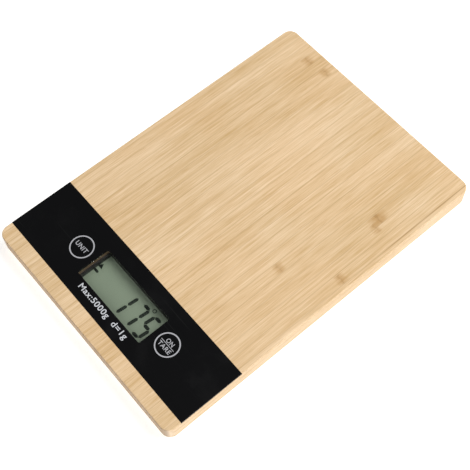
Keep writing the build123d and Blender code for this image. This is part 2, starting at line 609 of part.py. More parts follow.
with BuildPart() as door_latch:
    with BuildSketch(Plane.XY.offset(DOOR_TOP)):
        with Locations((0, LATCH_MID_Y)):
            Rectangle(LATCH_X, LATCH_T)
    extrude(amount=LATCH_LENGTH)
    with BuildSketch(Plane.XY.offset(HOOK_BOTTOM)):
        with Locations((0, LATCH_MID_Y - 0.9)):
            Rectangle(LATCH_X, 0.9)
    extrude(amount=HOOK_T)
save(door_latch.part, "door_latch")

# ---------------------------------------------------------------- batteries, contacts and leads
NUB_R, NUB_T = 1.9, 0.9
CONTACT_T = 0.3
CONTACT_X = BAY_X / 2 - CONTACT_T
SPRING_R, SPRING_WIRE_R = 2.6, 0.25
SPRING_LENGTH = 2 * CONTACT_X - BATTERY_LENGTH

for number, side in ((1, -1), (2, 1)):
    y = BATTERY_MID_Y + side * BATTERY_PITCH / 2
    can_start = CONTACT_X - BATTERY_LENGTH if side < 0 else NUB_T - CONTACT_X
    with BuildPart() as battery:
        with BuildSketch(Plane.YZ.offset(can_start)):
            with Locations((y, BATTERY_Z)):
                Circle(BATTERY_R)
        extrude(amount=BATTERY_LENGTH - NUB_T)
        fillet(battery.edges().filter_by(GeomType.CIRCLE), radius=0.5)
        nub_start = can_start + BATTERY_LENGTH - NUB_T if side < 0 else can_start - NUB_T
        with BuildSketch(Plane.YZ.offset(nub_start)):
            with Locations((y, BATTERY_Z)):
                Circle(NUB_R)
        extrude(amount=NUB_T)
    save(battery.part, f"battery_{number}")

with BuildPart() as battery_contacts:
    for side in (-1, 1):
        y = BATTERY_MID_Y + side * BATTERY_PITCH / 2
        with BuildSketch(Plane.YZ.offset(-BAY_X / 2)):
            with Locations((y, BATTERY_Z)):
                Rectangle(8, 8)
        extrude(amount=CONTACT_T)
        with BuildSketch(Plane.YZ.offset(-BAY_X / 2 - TAB_X)):
            with Locations((y, TAB_Z)):
                Rectangle(TAB_Y, TAB_T)
        extrude(amount=TAB_X + 0.1)
    with BuildSketch(Plane.YZ.offset(CONTACT_X)):
        with Locations((BATTERY_MID_Y, BATTERY_Z)):
            Rectangle(BATTERY_PITCH + 8, 8)
    extrude(amount=CONTACT_T)
save(battery_contacts.part, "battery_contacts")


def contact_spring(y, direction):
    """A compressed coil spring between a contact plate and the flat end of a battery."""
    height = SPRING_LENGTH - 2 * SPRING_WIRE_R
    start = (-direction * (CONTACT_X - SPRING_WIRE_R), y, BATTERY_Z)
    with BuildPart(mode=Mode.PRIVATE) as spring:
        with BuildLine() as coil:
            Helix(pitch=height / 5, height=height, radius=SPRING_R, center=start, direction=(direction, 0, 0))
        with BuildSketch(Plane(origin=coil.line @ 0, z_dir=coil.line % 0)):
            Circle(SPRING_WIRE_R)
        sweep(path=coil.line, is_frenet=True)
    return spring.part


with BuildPart() as battery_springs:
    for side in (-1, 1):
        add(contact_spring(BATTERY_MID_Y + side * BATTERY_PITCH / 2, -side))
save(battery_springs.part, "battery_springs")

for name, side, run_x in (("positive", 1, -31.9), ("negative", -1, -30.4)):
    y = BATTERY_MID_Y + side * BATTERY_PITCH / 2
    tab_x = -BAY_X / 2 - TAB_X
    route = [(tab_x, y, TAB_Z), (run_x, y, TAB_Z), (run_x, -67.5, TAB_Z), (run_x, -67.5, PCB_TOP)]
    with BuildPart() as battery_lead:
        add(lead(route, [1.2, 1.0], (-1, 0, 0)))
    save(battery_lead.part, f"battery_lead_{name}")
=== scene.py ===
import json
from math import cos, pi, radians, sin

import bpy
from bpy.props import FloatProperty, FloatVectorProperty, PointerProperty, StringProperty
from mathutils import Matrix, Vector

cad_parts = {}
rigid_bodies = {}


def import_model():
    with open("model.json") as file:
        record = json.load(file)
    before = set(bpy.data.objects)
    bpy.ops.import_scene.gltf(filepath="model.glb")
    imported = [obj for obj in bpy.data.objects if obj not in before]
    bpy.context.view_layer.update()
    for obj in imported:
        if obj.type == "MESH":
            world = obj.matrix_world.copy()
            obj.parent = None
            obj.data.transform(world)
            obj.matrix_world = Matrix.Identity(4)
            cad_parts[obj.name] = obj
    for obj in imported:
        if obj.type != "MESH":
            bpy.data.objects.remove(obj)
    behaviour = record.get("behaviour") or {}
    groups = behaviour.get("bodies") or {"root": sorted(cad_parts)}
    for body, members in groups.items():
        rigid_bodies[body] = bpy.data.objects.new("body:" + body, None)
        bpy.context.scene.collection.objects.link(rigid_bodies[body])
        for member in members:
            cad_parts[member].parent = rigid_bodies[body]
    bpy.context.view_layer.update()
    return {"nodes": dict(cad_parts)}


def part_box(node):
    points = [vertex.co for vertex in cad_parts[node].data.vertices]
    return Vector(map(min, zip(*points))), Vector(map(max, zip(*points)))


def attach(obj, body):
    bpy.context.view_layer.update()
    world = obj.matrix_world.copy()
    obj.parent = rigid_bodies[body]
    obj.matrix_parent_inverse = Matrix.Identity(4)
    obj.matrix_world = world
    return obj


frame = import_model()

bl_info = {
    "name": "Bamboo kitchen scale",
    "version": (1, 0, 0),
    "blender": (4, 5, 0),
    "location": "3D View > Sidebar > Kitchen scale",
    "description": "Finishes a kitchen scale: bamboo, black panel, display, keys and underside",
    "category": "Add Mesh",
}

MM = 0.001
INK = 0.03 * MM  # thickness of printed ink
CAPITAL_SHARE = 0.729  # height of a capital in the built-in typeface, as a share of its size
CORNERS = ("front_left", "front_right", "rear_left", "rear_right")
KEYS = ("unit", "tare")


# ---------------- settings
def colour_property(name, description, default):
    """A linear colour in the settings."""
    return FloatVectorProperty(
        name=name, description=description, default=default, subtype="COLOR", size=3, min=0, max=1
    )


def length_property(name, description, default):
    """A length in the settings, in metres."""
    return FloatProperty(
        name=name, description=description, default=default, subtype="DISTANCE", unit="LENGTH", precision=5
    )


def angle_property(name, description, degrees):
    """An angle in the settings, whose default is given in degrees."""
    return FloatProperty(name=name, description=description, default=radians(degrees), subtype="ANGLE")


class BambooSettings(bpy.types.PropertyGroup):
    """Colours and strip sizes of the bamboo board."""

    light: colour_property("Light strip", "Palest fibres", (0.83, 0.625, 0.405))
    dark: colour_property("Dark strip", "Darkest fibres", (0.55, 0.355, 0.15))
    knuckle: colour_property("Knuckle", "Brown of the culm's knuckles", (0.43, 0.225, 0.06))
    strip_width: length_property("Strip width", "Width of one glued strip", 7 * MM)
    seam_width: length_property("Seam width", "Width of the dark line between strips", 0.30 * MM)


class PanelSettings(bpy.types.PropertyGroup):
    """Colours and lettering of the black panel and its keys."""

    black: colour_property("Panel black", "Colour of the panel and the keys", (0.0014, 0.0014, 0.0017))
    ink: colour_property("Ink", "Colour of the printed words", (0.58, 0.595, 0.62))
    ring_ink: colour_property("Ring ink", "Colour of the printed rings", (0.40, 0.40, 0.42))
    capacity: StringProperty(name="Capacity", description="Printed capacity", default="Max:5000g")
    division: StringProperty(name="Division", description="Printed scale division", default="d=1g")
    letter_height: length_property("Letter height", "Height of a capital under the window", 3.7 * MM)
    capacity_width: length_property("Capacity width", "Length of the printed capacity", 26.3 * MM)
    division_width: length_property("Division width", "Length of the printed division", 12.3 * MM)
    key_letter_height: length_property("Key letter height", "Height of a capital on a key", 3.0 * MM)
    ring_radius: length_property("Ring radius", "Outer radius of a key's printed ring", 7.45 * MM)
    ring_width: length_property("Ring width", "Width of a key's printed ring", 0.76 * MM)


class DisplaySettings(bpy.types.PropertyGroup):
    """The liquid-crystal display."""

    reading: StringProperty(name="Reading", description="Digits shown, right-aligned", default="175")
    field: colour_property("Field", "Colour of the display's empty field", (0.205, 0.255, 0.18))
    segment: colour_property("Segment", "Colour of a dark segment", (0.003, 0.006, 0.004))
    digit_height: length_property("Digit height", "From the top stroke's middle to the bottom's", 15.3 * MM)
    digit_width: length_property("Digit width", "Between the middles of the side strokes", 5.2 * MM)
    stroke: length_property("Stroke", "Width of a stroke", 2.1 * MM)
    pitch: length_property("Pitch", "From one digit to the next", 10.2 * MM)


class StageSettings(bpy.types.PropertyGroup):
    """Camera, floor and lights."""

    lens: FloatProperty(name="Lens", description="Focal length", default=74.808, unit="CAMERA")
    azimuth: angle_property("Azimuth", "Round the scale", 52.559)
    elevation: angle_property("Elevation", "Above level", 62.402)
    roll: angle_property("Roll", "Camera's own turn", -3.091)
    distance: length_property("Distance", "From the camera to the board's top", 0.56774)
    floor: colour_property("Floor", "Colour of the floor", (0.86, 0.86, 0.86))


SETTINGS = {
    "scale_bamboo": BambooSettings,
    "scale_panel": PanelSettings,
    "scale_display": DisplaySettings,
    "scale_stage": StageSettings,
}


# ---------------- node helpers
def put(socket, value):
    """Link another node's output to an input, or set the input to a value."""
    if isinstance(value, bpy.types.NodeSocket):
        socket.id_data.links.new(value, socket)
    elif socket.type == "RGBA":
        socket.default_value = (*value[:3], 1)
    else:
        socket.default_value = value


def feed(node, **values):
    """Set or link a node's inputs, keyed by input name with _ for a space."""
    for key, value in values.items():
        put(node.inputs[key.replace("_", " ")], value)


def add_node(tree, kind, inputs=None, **settings):
    """A shader node with its settings and inputs, where an input is a value or another node's output."""
    node = tree.nodes.new(kind)
    for key, value in settings.items():
        setattr(node, key, value)
    for key, value in (inputs or {}).items():
        put(node.inputs[key], value)
    return node


def tree_of(values):
    """The node tree that the first output among these values belongs to."""
    return next(value.id_data for value in values if isinstance(value, bpy.types.NodeSocket))


def maths(operation, *values, clamp=False):
    """Output of a Math node."""
    inputs = dict(enumerate(values))
    node = add_node(tree_of(values), "ShaderNodeMath", inputs, operation=operation, use_clamp=clamp)
    return node.outputs[0]


def times(first, second):
    """Product of two values."""
    return maths("MULTIPLY", first, second)


def plus(first, second, clamp=False):
    """Sum of two values."""
    return maths("ADD", first, second, clamp=clamp)


def minus(first, second, clamp=False):
    """Difference of two values."""
    return maths("SUBTRACT", first, second, clamp=clamp)


def divided(first, second):
    """Quotient of two values."""
    return maths("DIVIDE", first, second)


def size_of(value):
    """A value without its sign."""
    return maths("ABSOLUTE", value)


def split(vector):
    """The X, Y and Z outputs of a vector."""
    return add_node(vector.id_data, "ShaderNodeSeparateXYZ", {0: vector}).outputs


def surface_normal(place):
    """The direction that the surface faces, in the tree of place."""
    return add_node(place.id_data, "ShaderNodeNewGeometry").outputs["Normal"]


def vector_maths(operation, *values):
    """Output of a Vector Math node."""
    inputs = dict(enumerate(values))
    return add_node(tree_of(values), "ShaderNodeVectorMath", inputs, operation=operation).outputs[0]


def smooth_step(value, low, high):
    """0 below low, 1 above high, and smooth between them. low may be above high."""
    inputs = {"Value": value, "From Min": low, "From Max": high}
    node = add_node(value.id_data, "ShaderNodeMapRange", inputs, interpolation_type="SMOOTHSTEP")
    return node.outputs["Result"]


def between(value, low, high):
    """value from 0 to 1, spread from low to high."""
    inputs = {"Value": value, "To Min": low, "To Max": high}
    return add_node(value.id_data, "ShaderNodeMapRange", inputs).outputs["Result"]


def mix_colour(factor, first, second, blend="MIX"):
    """Output of a colour Mix node."""
    inputs = {0: factor, 6: first, 7: second}
    node = add_node(factor.id_data, "ShaderNodeMix", inputs, data_type="RGBA", blend_type=blend)
    return node.outputs[2]


def noise(coordinates, scale=1.0, detail=2.0, roughness=0.5):
    """Value output of a Noise Texture."""
    inputs = {"Vector": coordinates, "Scale": scale, "Detail": detail, "Roughness": roughness}
    return add_node(coordinates.id_data, "ShaderNodeTexNoise", inputs).outputs[0]


def new_group(name, inputs, outputs):
    """A shader node group; inputs are name, socket kind and default, outputs are name and socket kind."""
    group = bpy.data.node_groups.new(name, "ShaderNodeTree")
    for label, kind, default in inputs:
        socket = group.interface.new_socket(name=label, in_out="INPUT", socket_type=kind)
        if default is not None:
            socket.default_value = default
    for label, kind in outputs:
        group.interface.new_socket(name=label, in_out="OUTPUT", socket_type=kind)
    return group, group.nodes.new("NodeGroupInput").outputs, group.nodes.new("NodeGroupOutput")


def use_group(name, **values):
    """Outputs of a node group placed in a material with its own values."""
    node = add_node(tree_of(values.values()), "ShaderNodeGroup", node_tree=bpy.data.node_groups[name])
    feed(node, **values)
    return node.outputs


FLOAT, VECTOR = "NodeSocketFloat", "NodeSocketVector"


def make_strip_group():
    """Glued strips side by side along X: a random tone and shift for each, and the seams between them."""
    group, given, out = new_group(
        "Glued strips",
        [("Coordinates", VECTOR, None), ("Width", FLOAT, 7 * MM), ("Seam", FLOAT, 0.16 * MM)],
        [("Tone", FLOAT), ("Shift", FLOAT), ("Seam line", FLOAT)],
    )
    place = split(given["Coordinates"])
    across = divided(place["X"], given["Width"])
    index = maths("FLOOR", across)
    tone = add_node(group, "ShaderNodeTexWhiteNoise", {"W": index}, noise_dimensions="1D").outputs
    second = plus(index, 31.7)
    shift = add_node(group, "ShaderNodeTexWhiteNoise", {"W": second}, noise_dimensions="1D").outputs
    to_seam = maths("PINGPONG", across, 0.5)
    half_seam = divided(given["Seam"], given["Width"])
    line = minus(1.0, divided(to_seam, half_seam), clamp=True)
    feed(out, Tone=tone["Value"], Shift=shift["Value"], Seam_line=line)


def make_fibre_group():
    """Long streaks along Y, as wood fibre or drawn metal has, from 0 to 1."""
    group, given, out = new_group(
        "Fibre streaks",
        [
            ("Coordinates", VECTOR, None),
            ("Shift", FLOAT, 0.0),
            ("Across", FLOAT, 0.5 * MM),
            ("Along", FLOAT, 15 * MM),
            ("Detail", FLOAT, 2.0),
        ],
        [("Streak", FLOAT)],
    )
    place = split(given["Coordinates"])
    along = divided(plus(place["Y"], given["Shift"]), given["Along"])
    across = divided(place["X"], given["Across"])
    deep = divided(place["Z"], given["Across"])
    stretched = add_node(group, "ShaderNodeCombineXYZ", {"X": across, "Y": along, "Z": deep}).outputs[0]
    feed(out, Streak=noise(stretched, 1.0, given["Detail"]))


def make_knuckle_group():
    """A mask for a knuckle of the culm in one strip: soft ends along Y, uneven edges."""
    group, given, out = new_group(
        "Culm knuckle",
        [
            ("Coordinates", VECTOR, None),
            ("Middle X", FLOAT, 0.0),
            ("Middle Y", FLOAT, 0.0),
            ("Half width", FLOAT, 3.3 * MM),
            ("Half length", FLOAT, 4 * MM),
        ],
        [("Mask", FLOAT), ("Line", FLOAT)],
    )
    wobble = noise(given["Coordinates"], 330.0, 3.0)
    place = split(given["Coordinates"])
    wander = times(minus(wobble, 0.5), 4.5 * MM)
    off_x = size_of(minus(place["X"], given["Middle X"]))
    signed_y = plus(minus(place["Y"], given["Middle Y"]), wander)
    off_y = size_of(signed_y)
    share_x = divided(off_x, given["Half width"])
    share_y = divided(off_y, given["Half length"])
    inside_x = smooth_step(share_x, 1.05, 0.85)
    inside_y = smooth_step(share_y, 1.3, 0.15)
    ridge = smooth_step(share_y, 0.2, 0.0)
    feed(out, Mask=times(inside_x, inside_y), Line=times(inside_x, ridge))


def make_grain_group():
    """Fine spark-eroded texture of a moulding, with a slow unevenness of tone."""
    group, given, out = new_group(
        "Moulded grain",
        [("Coordinates", VECTOR, None), ("Size", FLOAT, 0.25 * MM)],
        [("Height", FLOAT), ("Tone", FLOAT)],
    )
    size = add_node(group, "ShaderNodeCombineXYZ", {axis: given["Size"] for axis in "XYZ"}).outputs[0]
    fine = vector_maths("DIVIDE", given["Coordinates"], size)
    feed(out, Height=noise(fine, 1.0, 3.0, 0.6), Tone=noise(given["Coordinates"], 45.0, 3.0))


def make_handling_group():
    """Dust specks, faint finger smudges and hairline scratches, each from 0 to 1."""
    group, given, out = new_group(
        "Handling marks",
        [("Coordinates", VECTOR, None)],
        [("Smudge", FLOAT), ("Scratch", FLOAT), ("Dust", FLOAT)],
    )
    smudge = smooth_step(noise(given["Coordinates"], 38.0, 4.0, 0.6), 0.48, 0.74)
    turn = {"Vector": given["Coordinates"], "Rotation": (0, 0, 0.6), "Scale": (14, 900, 40)}
    turned = add_node(group, "ShaderNodeMapping", turn).outputs[0]
    scratch = smooth_step(noise(turned, 1.0, 2.0), 0.67, 0.78)
    dust = smooth_step(noise(given["Coordinates"], 1500.0, 1.0), 0.76, 0.84)
    feed(out, Smudge=smudge, Scratch=scratch, Dust=dust)


def make_edge_group():
    """Where a surface leans, as it does on a rounded or chamfered edge, from 0 to 1."""
    group, given, out = new_group("Softened edges", [("Normal", VECTOR, None)], [("Edge", FLOAT)])
    lean = split(vector_maths("ABSOLUTE", given["Normal"]))
    steepest = maths("MAXIMUM", lean["Z"], maths("MAXIMUM", lean["X"], lean["Y"]))
    feed(out, Edge=smooth_step(steepest, 0.985, 0.80))


def make_groups():
    """Every node group that the materials share."""
    for make in (
        make_strip_group,
        make_fibre_group,
        make_knuckle_group,
        make_grain_group,
        make_handling_group,
        make_edge_group,
    ):
        make()


# ---------------- materials
def new_material(name):
    """A material with its Principled BSDF and the object's own coordinates."""
    material = bpy.data.materials.new(name)
    material.use_nodes = True
    tree = material.node_tree
    tree.nodes.clear()
    output = tree.nodes.new("ShaderNodeOutputMaterial")
    shader = tree.nodes.new("ShaderNodeBsdfPrincipled")
    tree.links.new(shader.outputs[0], output.inputs["Surface"])
    place = tree.nodes.new("ShaderNodeTexCoord").outputs["Object"]
    return material, shader, place


def fibres(place, across, along, detail=2.0, shift=0.0):
    """Streaks along Y, across wide and along long."""
    inputs = {"Across": across, "Along": along, "Detail": detail, "Shift": shift}
    return use_group("Fibre streaks", Coordinates=place, **inputs)["Streak"]


def edges(normal):
    """Mask of the rounded and chamfered edges."""
    return use_group("Softened edges", Normal=normal)["Edge"]


def bump(height, distance, strength=1.0):
    """Normal output of a Bump node, where distance is the relief in metres."""
    inputs = {"Height": height, "Distance": distance, "Strength": strength}
    return add_node(height.id_data, "ShaderNodeBump", inputs).outputs[0]


def scaled(colour, factor):
    """A colour made lighter or darker."""
    return tuple(min(1.0, part * factor) for part in colour[:3])


# knuckles that stand out: middle of the strip in strips, place along it, half length, strength
KNUCKLES = (
    (8.5, 0.0590, 0.0062, 1.0),
    (9.0, 0.0535, 0.0030, 0.7),
    (10.5, 0.0160, 0.0036, 0.8),
    (6.5, -0.0060, 0.0034, 0.65),
    (-7.5, 0.1050, 0.0040, 0.8),
    (-5.5, 0.1070, 0.0036, 0.7),
)

DARK_SEAM = 11  # the one dark seam at the right, in strips from the middle
WINDOW_WALL_SHADE = (0.012, 0.011, 0.010)  # painted shade: the near-black of the walls under the window
END_GRAIN_AND_SHADE = (0.42, 0.36, 0.30)  # what the board's ends keep of each colour: partly the end grain's darker brown, partly painted shade
BLUSH = (1.0, 0.955, 0.90)  # what the warmer patches keep of each colour


def window_wall_shade(spot, normal):
    """Mask of the painted shade on the walls of the hole under the window, so dark that their wood hardly
    shows.
    """
    low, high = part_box("window_lens")
    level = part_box("display_panel")[0].z
    inside = smooth_step(spot["Z"], level + 0.05 * MM, level - 0.05 * MM)
    for axis, start, end in (("X", low.x, high.x), ("Y", low.y, high.y)):
        off = size_of(minus(spot[axis], (start + end) / 2))
        reach = (end - start) / 2 + 0.3 * MM
        inside = times(inside, smooth_step(off, reach + 0.1 * MM, reach))
    facing = split(normal)
    upright = smooth_step(size_of(facing["Z"]), 0.6, 0.3)
    # the left wall faces +X, towards the light, so it gets a little less painted shade
    left_end = times(smooth_step(facing["X"], 0.3, 0.6), 0.25)
    return times(minus(upright, left_end), inside)


def bamboo_material():
    """Pressed bamboo: 7 mm strips with fibres along Y, knuckles, thin seams, satin lacquer."""
    settings = bpy.context.scene.scale_bamboo
    material, shader, place = new_material("bamboo")
    sizes = {"Width": settings.strip_width, "Seam": settings.seam_width}
    strips = use_group("Glued strips", Coordinates=place, **sizes)
    shift = strips["Shift"]
    fine = fibres(place, 0.36 * MM, 15 * MM, 3.0, shift)
    middle = fibres(place, 1.1 * MM, 55 * MM, shift=shift)
    broad = fibres(place, 16 * MM, 90 * MM)
    tone = times(strips["Tone"], 0.20)
    for streak, share in ((fine, 1.30), (middle, 1.05), (broad, 0.80)):
        centred = times(minus(streak, 0.5), share)
        tone = plus(tone, centred)
    tone = plus(tone, 0.36, clamp=True)
    colour = mix_colour(tone, settings.light, settings.dark)
    # thin dark vessels, only a few fibres wide
    vessel = smooth_step(fibres(place, 0.30 * MM, 14 * MM, 1.0, shift), 0.66, 0.76)
    colour = mix_colour(times(vessel, 0.50), colour, settings.knuckle)
    blush = smooth_step(noise(place, 26.0, 2.0), 0.35, 0.68)
    colour = mix_colour(times(blush, 0.55), colour, BLUSH, "MULTIPLY")
    mottle = between(noise(place, 520.0, 3.0), 0.45, 1.0)
    for strip, along, half_length, strength in KNUCKLES:
        knuckle = use_group(
            "Culm knuckle",
            Coordinates=place,
            Middle_X=strip * settings.strip_width,
            Middle_Y=along,
            Half_width=0.49 * settings.strip_width,
            Half_length=half_length,
        )
        shade = times(times(knuckle["Mask"], mottle), 0.80 * strength)
        colour = mix_colour(shade, colour, settings.knuckle)
        ridge = times(knuckle["Line"], 0.30 * strength)
        colour = mix_colour(ridge, colour, scaled(settings.knuckle, 0.6))
    spot = split(place)
    off_line = size_of(minus(spot["X"], DARK_SEAM * settings.strip_width))
    dark_line = smooth_step(off_line, 0.5 * MM, 0.15 * MM)
    dark_line = times(dark_line, between(fine, 0.2, 1.0))
    dark_line = times(dark_line, smooth_step(spot["Y"], 35 * MM, 60 * MM))
    colour = mix_colour(dark_line, colour, scaled(settings.knuckle, 0.75))
    seam = times(strips["Seam line"], between(middle, 0.1, 0.60))
    colour = mix_colour(seam, colour, scaled(settings.dark, 0.62))
    normal = surface_normal(place)
    edge = edges(normal)
    # painted highlight: the rounded and chamfered edges are lightened towards the palest fibre colour
    colour = mix_colour(times(edge, 0.30), colour, scaled(settings.light, 1.12))
    # painted shade: the walls of the hole under the window are darkened almost to black
    colour = mix_colour(window_wall_shade(spot, normal), colour, WINDOW_WALL_SHADE)
    # the ends facing along Y are darkened: partly the end grain's own darker colour, partly painted shade
    lengthways = size_of(split(normal)["Y"])
    end_grain_and_shade = times(smooth_step(lengthways, 0.5, 0.85), 0.75)
    colour = mix_colour(end_grain_and_shade, colour, END_GRAIN_AND_SHADE, "MULTIPLY")
    marks = use_group("Handling marks", Coordinates=place)
    rough = plus(between(fine, 0.46, 0.58), times(marks["Smudge"], 0.06))
    height = minus(times(fine, 0.4), times(strips["Seam line"], 0.5))
    relief = bump(height, 0.05 * MM, 0.5)
    feed(shader, Base_Color=colour, Roughness=rough, Specular_IOR_Level=0.35, Normal=relief)
    return material


def gloss_material(name, colour, roughness, relief=0.004 * MM, smudge=0.12):
    """Smooth black acrylic: faint orange peel, smudges, hairlines and dust, paler on its cut edges."""
    material, shader, place = new_material(name)
    marks = use_group("Handling marks", Coordinates=place)
    edge = edges(surface_normal(place))
    tint = mix_colour(times(marks["Dust"], 0.05), colour, (0.30, 0.29, 0.27))
    tint = mix_colour(times(marks["Scratch"], 0.012), tint, (0.4, 0.4, 0.4))
    tint = mix_colour(times(edge, 0.25), tint, (0.06, 0.06, 0.062))
    rough = plus(times(marks["Smudge"], smudge), roughness)
    rough = plus(rough, times(marks["Scratch"], 0.08))
    peel = noise(place, 700.0, 2.0)
    shine = bump(peel, relief, 0.6)
    feed(shader, Base_Color=tint, Roughness=rough, Specular_IOR_Level=0.22, Normal=shine)
    return material


def moulded_material(name, colour, roughness=0.55, size=0.22 * MM, relief=0.02 * MM, wear=0.2):
    """Spark-eroded moulding with a slow unevenness, dust in the texture and paler, polished edges."""
    material, shader, place = new_material(name)
    grain = use_group("Moulded grain", Coordinates=place, Size=size)
    marks = use_group("Handling marks", Coordinates=place)
    edge = edges(surface_normal(place))
    tint = mix_colour(grain["Tone"], scaled(colour, 0.90), scaled(colour, 1.08))
    tint = mix_colour(times(marks["Smudge"], 0.10), tint, scaled(colour, 0.72))
    tint = mix_colour(times(edge, wear), tint, scaled(colour, 1.25))
    rough = plus(between(grain["Tone"], -0.06, 0.06), roughness)
    rough = minus(rough, times(edge, 0.12))
    feed(shader, Base_Color=tint, Roughness=rough, Normal=bump(grain["Height"], relief, 0.7))
    return material


def rubber_material(name, colour, roughness=0.72):
    """Soft rubber or insulation with a dusty bloom and a fine skin."""
    material, shader, place = new_material(name)
    grain = use_group("Moulded grain", Coordinates=place, Size=0.12 * MM)
    bloom = smooth_step(noise(place, 260.0, 4.0, 0.65), 0.45, 0.8)
    tint = mix_colour(times(bloom, 0.22), colour, (0.42, 0.41, 0.39))
    rough = plus(between(grain["Tone"], -0.08, 0.08), roughness)
    feed(shader, Base_Color=tint, Roughness=rough, Normal=bump(grain["Height"], 0.012 * MM, 0.6))
    return material


def metal_material(name, colour, roughness=0.32, across=0.12 * MM, along=9 * MM):
    """Rolled or drawn metal with hairlines along Y and faint tarnish."""
    material, shader, place = new_material(name)
    streak = fibres(place, across, along)
    tarnish = smooth_step(noise(place, 170.0, 4.0, 0.6), 0.5, 0.85)
    tint = mix_colour(streak, scaled(colour, 0.88), scaled(colour, 1.10))
    tint = mix_colour(times(tarnish, 0.30), tint, (0.33, 0.29, 0.22))
    rough = plus(between(streak, -0.08, 0.10), roughness)
    rough = plus(rough, times(tarnish, 0.18))
    skin = bump(streak, 0.006 * MM, 0.5)
    feed(shader, Base_Color=tint, Roughness=rough, Metallic=1.0, Normal=skin)
    return material


def window_material():
    """Clear acrylic window with a little dust and a few hairlines."""
    material, shader, place = new_material("clear_window")
    marks = use_group("Handling marks", Coordinates=place)
    alpha = plus(times(marks["Dust"], 0.06), 0.05)
    alpha = plus(alpha, times(marks["Scratch"], 0.05))
    rough = plus(times(marks["Smudge"], 0.12), 0.04)
    tint = mix_colour(marks["Dust"], (0.90, 0.93, 0.92), (0.7, 0.7, 0.68))
    feed(shader, Base_Color=tint, Roughness=rough, Alpha=alpha, IOR=1.49, Transmission_Weight=1.0)
    return material


def display_material():
    """Front polariser over the grey-green field, with a soft unevenness, painted shade towards the right end
    and a fine matt skin.
    """
    settings = bpy.context.scene.scale_display
    low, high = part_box("window_lens")
    material, shader, place = new_material("display_film")
    spot = split(place)
    across = smooth_step(spot["X"], low.x - 5 * MM, high.x + 5 * MM)
    cloud = noise(place, 60.0, 2.0)
    tint = mix_colour(cloud, scaled(settings.field, 0.94), scaled(settings.field, 1.06))
    # painted shade: the field grows darker towards the window's right end
    tint = mix_colour(times(across, 0.35), tint, scaled(settings.field, 0.86))
    skin = noise(place, 9000.0, 1.0)
    rough = between(cloud, 0.38, 0.48)
    feed(shader, Base_Color=tint, Roughness=rough, Normal=bump(skin, 0.002 * MM, 0.5))
    return material


def segment_material():
    """A dark liquid-crystal segment, faintly uneven where the rear film shows through."""
    colour = bpy.context.scene.scale_display.segment
    material, shader, place = new_material("liquid_crystal_segment")
    cloud = noise(place, 900.0, 3.0)
    tint = mix_colour(cloud, scaled(colour, 0.7), scaled(colour, 1.5))
    rough = between(cloud, 0.38, 0.50)
    skin = bump(cloud, 0.002 * MM, 0.4)
    feed(shader, Base_Color=tint, Roughness=rough, Specular_IOR_Level=0.2, Normal=skin)
    return material


def ink_material(name, colour):
    """Screen-printed ink: slightly uneven cover, mesh texture, a few worn pinholes."""
    material, shader, place = new_material(name)
    mesh = noise(place, 6500.0, 2.0)
    cover = noise(place, 1200.0, 3.0)
    worn = smooth_step(noise(place, 2600.0, 2.0), 0.70, 0.80)
    tint = mix_colour(cover, scaled(colour, 0.86), scaled(colour, 1.12))
    tint = mix_colour(times(worn, 0.4), tint, scaled(colour, 0.35))
    rough = between(mesh, 0.50, 0.66)
    feed(shader, Base_Color=tint, Roughness=rough, Normal=bump(mesh, 0.004 * MM, 0.6))
    return material


def glass_sheet_material(name, colour, clouding):
    """Thin display glass or film, slightly clouded towards its cut edge."""
    material, shader, place = new_material(name)
    cloud = noise(place, 140.0, 3.0)
    tint = mix_colour(times(cloud, clouding), colour, scaled(colour, 0.6))
    skin = noise(place, 2400.0, 2.0)
    rough = between(cloud, 0.12, 0.26)
    feed(shader, Base_Color=tint, Roughness=rough, Normal=bump(skin, 0.003 * MM, 0.4))
    return material


def zebra_material():
    """Conductive rubber strip: thin dark layers across its length."""
    material, shader, place = new_material("silicone_rubber")
    spot = split(place)
    layer = maths("PINGPONG", divided(spot["X"], 0.18 * MM), 1.0)
    dark = smooth_step(layer, 0.35, 0.65)
    speck = noise(place, 1800.0, 2.0)
    tint = mix_colour(dark, (0.45, 0.47, 0.55), (0.03, 0.03, 0.035))
    rough = between(speck, 0.55, 0.75)
    feed(shader, Base_Color=tint, Roughness=rough, Normal=bump(speck, 0.01 * MM, 0.5))
    return material


def circuit_board_material():
    """Green solder mask with copper tracks under it, pads, and glass weave at the cut edge."""
    material, shader, place = new_material("circuit_board")
    spread = {"Vector": place, "Scale": 210.0, "Randomness": 0.55}
    cells = add_node(place.id_data, "ShaderNodeTexVoronoi", spread, distance="MANHATTAN").outputs["Distance"]
    track = smooth_step(maths("PINGPONG", cells, 0.16), 0.10, 0.13)
    mask = noise(place, 90.0, 3.0)
    tint = mix_colour(mask, (0.018, 0.13, 0.055), (0.03, 0.19, 0.08))
    tint = mix_colour(times(track, 0.55), tint, (0.06, 0.30, 0.12))
    normal = surface_normal(place)
    steep = size_of(split(normal)["Z"])
    tint = mix_colour(smooth_step(steep, 0.6, 0.3), tint, (0.42, 0.40, 0.20))
    rough = between(mask, 0.24, 0.38)
    feed(shader, Base_Color=tint, Roughness=rough, Normal=bump(track, 0.03 * MM, 0.7))
    return material


